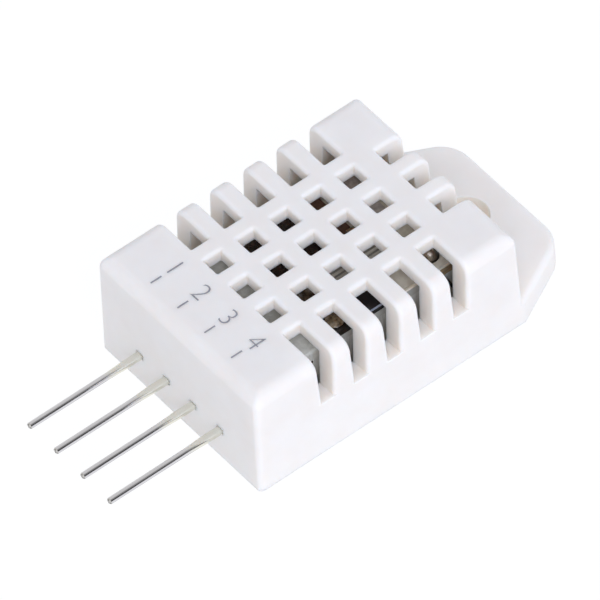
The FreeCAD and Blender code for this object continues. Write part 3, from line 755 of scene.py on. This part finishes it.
@dataclass
class WireJoints:
    """The jumper wire's two solder joints: a set dome on a concave foot, in a flat near-black ring."""

    made: dict[str, bpy.types.Material]
    crown_share: float = 0.8
    crown_drop: float = 0.8
    crown_points: int = 10
    rim_share: float = 0.04
    ring_hole: float = 0.5
    ring_width: float = 0.13 * MM
    ring_thickness: float = 0.03 * MM
    ring_shoulder: tuple[float, float] = (0.3, 0.7)
    steps: int = 40

    def build(self) -> None:
        """Replace the two plain solder cones."""
        low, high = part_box("jumper_solder")
        radius = (high.x - low.x) / 2
        middle_x = (low.x + high.x) / 2
        domes = bmesh.new()
        rings = bmesh.new()
        for y in (low.y + radius, high.y - radius):
            foot = Vector((middle_x, y, low.z))
            self.join(domes, turned(self.dome(radius, high.z - low.z), foot, self.steps))
            self.join(rings, turned(self.ring(radius), foot, self.steps))
        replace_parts(piece("jumper_solder_domes", domes, SOLDER, self.made), "jumper_solder")
        piece("jumper_dark_rings", rings, NEAR_BLACK_GLOSS, self.made)

    def dome(self, radius: float, height: float) -> list[tuple[float, float]]:
        """Outline of one joint: rounded crown, concave foot.

        Args:
            radius: Radius of the foot.
            height: Height of the crown.

        Returns:
            Radius and height of each point, from the axis down to it again.
        """
        crown = self.crown_share * radius
        turns = [math.radians(90) * i / self.crown_points for i in range(self.crown_points + 1)]
        outline = [(crown * math.sin(t), height - crown * self.crown_drop * (1 - math.cos(t))) for t in turns]
        outline += [(radius, self.rim_share * height), (radius, 0.0), (0.0, 0.0)]
        return outline

    def ring(self, radius: float) -> list[tuple[float, float]]:
        """Outline of one flat ring with a rounded rim."""
        outer = radius + self.ring_width
        thick = self.ring_thickness
        inner = self.ring_hole * radius
        back, rise = (share * thick for share in self.ring_shoulder)
        return [(inner, 0.0), (inner, thick), (outer - thick, thick), (outer - back, rise), (outer, 0.0),
                (inner, 0.0)]

    def join(self, whole: bmesh.types.BMesh, part: bmesh.types.BMesh) -> None:
        """Add one bmesh to another and free it."""
        data = bpy.data.meshes.new("part")
        part.to_mesh(data)
        part.free()
        whole.from_mesh(data)
        bpy.data.meshes.remove(data)


@dataclass
class Sensing:
    """The humidity element and the thermistor."""

    made: dict[str, bpy.types.Material]
    cup_edge: Softening = Softening(0.04 * MM)
    bead_steps: int = 48
    bead_lump: float = 0.07 * MM
    bead_grain: float = 0.3 * MM

    def build(self) -> None:
        """Dress the sensing pieces."""
        worn = {"humidity_plate": PHENOLIC, "humidity_electrodes": GOLD_FINGER, "humidity_film": FILM,
                "humidity_leads": TINNED_LEAD, "humidity_solder": SOLDER, "thermistor_leads": TINNED_LEAD}
        for node, finish in worn.items():
            dress(node, finish, self.made)
        soften("thermistor_cup", "thermistor_cup_moulding", CUP_BLACK, self.cup_edge,
               self.made)
        self.bead()

    def bead(self) -> None:
        """Replace the bead by an uneven set drop of the same size."""
        low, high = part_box("thermistor_bead")
        middle = (low + high) / 2
        reach = (high - low) / 2
        mesh = bmesh.new()
        bmesh.ops.create_uvsphere(mesh, u_segments=self.bead_steps, v_segments=self.bead_steps // 2,
                                  radius=1.0)
        for vert in mesh.verts:
            spot = Vector((vert.co.x * reach.x, vert.co.y * reach.y, 0))
            lump = self.bead_lump * noise.noise(spot / self.bead_grain)
            vert.co = middle + Vector((spot.x, spot.y, vert.co.z * reach.z - abs(lump)))
        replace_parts(piece("thermistor_bead_drop", mesh, BEAD, self.made), "thermistor_bead")


@dataclass
class SetDrops:
    """Small marks of the hand work: a pinhole in the sealing compound, shown as a dark disc of painted shade,
    and a dot of adhesive on the board.
    """

    made: dict[str, bpy.types.Material]
    hole_y: float = -4.0 * MM
    hole_z: float = 5.2 * MM
    hole_radius: float = 0.09 * MM
    hole_height: float = 1.3
    hole_stand: float = 0.012 * MM
    dot_x: float = 1.34 * MM
    dot_y: float = -1.22 * MM
    dot_width: float = 1.6 * MM
    dot_length: float = 1.1 * MM
    dot_height: float = 0.16 * MM
    ripple: float = 0.12
    ripple_grain: float = 0.5 * MM
    steps: int = 32

    def build(self) -> None:
        """Set a dark disc of painted shade for the pinhole in the side that slot 1 shows, then the dot."""
        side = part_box("sealing_compound")[1].x
        # Painted shade: a near-black disc stands in for the shadow inside the pinhole.
        pinhole = self.drop(Vector((side, self.hole_y, self.hole_z)),
                            Vector((self.hole_stand, self.hole_radius, self.hole_height * self.hole_radius)))
        piece("seal_pinhole_painted_shade", pinhole, NEAR_BLACK_GLOSS, self.made)
        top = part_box("circuit_board")[1].z
        dot = self.drop(Vector((self.dot_x, self.dot_y, top)),
                        Vector((self.dot_width / 2, self.dot_length / 2, self.dot_height)))
        for vert in dot.verts:
            wave = 1 + self.ripple * noise.noise(vert.co / self.ripple_grain)
            vert.co.x = self.dot_x + (vert.co.x - self.dot_x) * wave
            vert.co.y = self.dot_y + (vert.co.y - self.dot_y) * wave
            vert.co.z = max(vert.co.z, top)
        piece("board_adhesive_dot", dot, GLUE_DOT, self.made)

    def drop(self, centre: Vector, reach: Vector) -> bmesh.types.BMesh:
        """Make one flattened round drop.

        Args:
            centre: Its centre.
            reach: Its half sizes.

        Returns:
            The closed bmesh.
        """
        mesh = bmesh.new()
        bmesh.ops.create_uvsphere(mesh, u_segments=self.steps, v_segments=self.steps // 2, radius=1.0)
        bmesh.ops.transform(mesh, matrix=Matrix.Translation(centre) @ Matrix.Diagonal((*reach, 1.0)),
                            verts=mesh.verts)
        return mesh


@dataclass(frozen=True)
class Softbox:
    """One square lamp that looks at the object: place and side in metres, power in watts."""

    name: str
    place: tuple[float, float, float]
    size: float
    power: float
    tone: Hex


@dataclass
class Studio:
    """Plain pale floor, soft light and the camera."""

    camera_place: Vector
    camera_target: Vector
    camera_roll: float
    lens: float
    sensor_mm: float = 36.0
    seen_from: float = 0.01
    seen_to: float = 20.0
    lamps: tuple[Softbox, ...] = (Softbox("key_softbox", (0.69, -0.3, 0.655), 0.6, 6.5, "DBE5FF"),
                                  Softbox("end_softbox", (0.4, 0.85, 0.45), 0.6, 1.7, "E1EAFF"))
    floor_size: float = 4.0
    floor_drop: float = 0.02 * MM
    floor_tone: Hex = "F2F2F2"
    floor_glow: float = 0.22
    shown_glow: float = 0.92
    glow_strength: float = 1.03
    sky_tone: Hex = "E6EDFF"
    mirrored_tone: Hex = "F8F7F5"
    horizon_level: float = 0.885
    zenith_level: float = 0.66
    mirror_gain: float = 0.2
    flag_y: float = 0.37
    flag_core: float = 0.05
    flag_reach: float = 0.17
    flag_x: tuple[float, float] = (-0.45, 0.8)
    flag_depth: float = 0.95

    def build(self) -> None:
        """Lay the floor, hang the lamps and set the camera."""
        self.floor()
        self.sky()
        for softbox in self.lamps:
            self.hang(softbox)
        self.camera()

    def floor(self) -> None:
        """White table, lit a little from below, that shows as nearly plain white and keeps a faint shadow."""
        mesh = bmesh.new()
        bmesh.ops.create_grid(mesh, x_segments=1, y_segments=1, size=self.floor_size / 2)
        bmesh.ops.translate(mesh, verts=mesh.verts, vec=(0, 0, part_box("front_case")[0].z - self.floor_drop))
        data = bpy.data.meshes.new("studio_floor")
        mesh.to_mesh(data)
        mesh.free()
        material = bpy.data.materials.new("painted_white_floor")
        material.use_nodes = True
        tree = material.node_tree
        tree.nodes.remove(tree.nodes["Principled BSDF"])
        painted = add_node(tree, "BsdfDiffuse", {"Color": linear(self.floor_tone)})
        glow = add_node(tree, "Emission", {"Color": (1, 1, 1, 1), "Strength": self.glow_strength})
        share = add_node(tree, "Math", {0: self.seen_white(tree), 1: self.shown_glow - self.floor_glow,
                                        2: self.floor_glow}, operation="MULTIPLY_ADD").outputs[0]
        mixed = add_node(tree, "MixShader", {0: share, 1: painted.outputs[0], 2: glow.outputs[0]})
        tree.links.new(mixed.outputs[0], tree.nodes["Material Output"].inputs["Surface"])
        data.materials.append(material)
        floor = bpy.data.objects.new("studio_floor", data)
        bpy.context.scene.collection.objects.link(floor)

    def seen_white(self, tree: Tree) -> Socket:
        """1 where the camera looks straight at the surface or sees it mirrored in metal."""
        path = add_node(tree, "LightPath")
        return add_node(tree, "Math", {0: path.outputs["Is Camera Ray"], 1: path.outputs["Is Glossy Ray"]},
                        operation="MAXIMUM").outputs[0]

    def sky(self) -> None:
        """Soft light from all round, shown as plain white, with a narrow black flag that the pins mirror."""
        world = bpy.data.worlds.new("studio_light")
        world.use_nodes = True
        tree = world.node_tree
        tree.nodes.clear()
        where = add_node(tree, "TexCoord").outputs["Generated"]
        even = along(tree, where, "Z", 0.0, 1.0, self.horizon_level, self.zenith_level)
        side = add_node(tree, "SeparateXYZ", {0: where}).outputs["Y"]
        offset = add_node(tree, "Math", {0: side, 1: self.flag_y}, operation="SUBTRACT").outputs[0]
        away = add_node(tree, "Math", {0: offset}, operation="ABSOLUTE").outputs[0]
        strip = add_node(tree, "MapRange", {"Value": away, "From Min": self.flag_core,
                                            "From Max": self.flag_reach, "To Min": 1.0, "To Max": 0.0})
        flag = add_node(tree, "Math", {0: strip.outputs["Result"],
                                       1: along(tree, where, "X", *self.flag_x, 0.0, self.flag_depth)},
                        operation="MULTIPLY").outputs[0]
        shade = add_node(tree, "Math", {0: 1.0, 1: flag}, operation="SUBTRACT").outputs[0]
        level = add_node(tree, "Math", {0: even, 1: shade}, operation="MULTIPLY").outputs[0]
        mirrored = add_node(tree, "LightPath").outputs["Is Glossy Ray"]
        colour = add_node(tree, "Mix", {"Factor": mirrored, FIRST: linear(self.sky_tone),
                                        SECOND: linear(self.mirrored_tone)},
                          data_type="RGBA").outputs[MIXED]
        gain = add_node(tree, "Math", {0: mirrored, 1: self.mirror_gain, 2: 1.0},
                        operation="MULTIPLY_ADD").outputs[0]
        strength = add_node(tree, "Math", {0: level, 1: gain}, operation="MULTIPLY").outputs[0]
        light = add_node(tree, "Background", {"Color": colour, "Strength": strength})
        white = add_node(tree, "Background", {"Color": (1, 1, 1, 1), "Strength": 1.0})
        seen = add_node(tree, "LightPath").outputs["Is Camera Ray"]
        mixed = add_node(tree, "MixShader", {0: seen, 1: light.outputs[0], 2: white.outputs[0]})
        out = add_node(tree, "OutputWorld")
        tree.links.new(mixed.outputs[0], out.inputs["Surface"])
        bpy.context.scene.world = world

    def hang(self, softbox: Softbox) -> None:
        """Hang one lamp so that it looks at the object.

        Args:
            softbox: The lamp's sizes, power and colour.
        """
        light = bpy.data.lights.new(softbox.name, "AREA")
        light.shape = "SQUARE"
        light.size = softbox.size
        light.energy = softbox.power
        light.color = linear(softbox.tone)[:3]
        place = Vector(softbox.place)
        holder = bpy.data.objects.new(softbox.name, light)
        holder.location = place
        holder.rotation_euler = (-place).to_track_quat("-Z", "Y").to_euler()
        bpy.context.scene.collection.objects.link(holder)

    def camera(self) -> None:
        """Set the camera where the photograph was taken from."""
        data = bpy.data.cameras.new("camera")
        data.sensor_width = self.sensor_mm
        data.lens = self.lens
        data.clip_start = self.seen_from
        data.clip_end = self.seen_to
        ahead = (self.camera_target - self.camera_place).normalized()
        right = ahead.cross(Vector((0, 0, 1))).normalized()
        up = right.cross(ahead)
        tilt = math.radians(self.camera_roll)
        rolled_up = math.cos(tilt) * up + math.sin(tilt) * right
        rolled_right = math.cos(tilt) * right - math.sin(tilt) * up
        turn = Matrix((rolled_right, rolled_up, -ahead)).transposed().to_4x4()
        holder = bpy.data.objects.new("camera", data)
        holder.matrix_world = Matrix.Translation(self.camera_place) @ turn
        bpy.context.scene.collection.objects.link(holder)
        bpy.context.scene.camera = holder


def main() -> None:
    """Build each sub-assembly in order, then the studio."""
    logging.basicConfig(level=logging.INFO, format="%(name)s: %(message)s")
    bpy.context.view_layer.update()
    scene = bpy.context.scene
    scene.view_settings.view_transform = "Standard"
    made: dict[str, bpy.types.Material] = {}
    for assembly in (Case(made), Contacts(made), BoardAssembly(made), WireJoints(made), Sensing(made),
                     SetDrops(made)):
        assembly.build()
        log.info("%s done", type(assembly).__name__)
    studio = Studio(camera_place=Vector((488.096, -338.904, 694.147)) * MM,
                    camera_target=Vector((-1.646, 0.347, 1.333)) * MM, camera_roll=4.983, lens=928.597)
    studio.build()


if __name__ == "__main__":
    main()
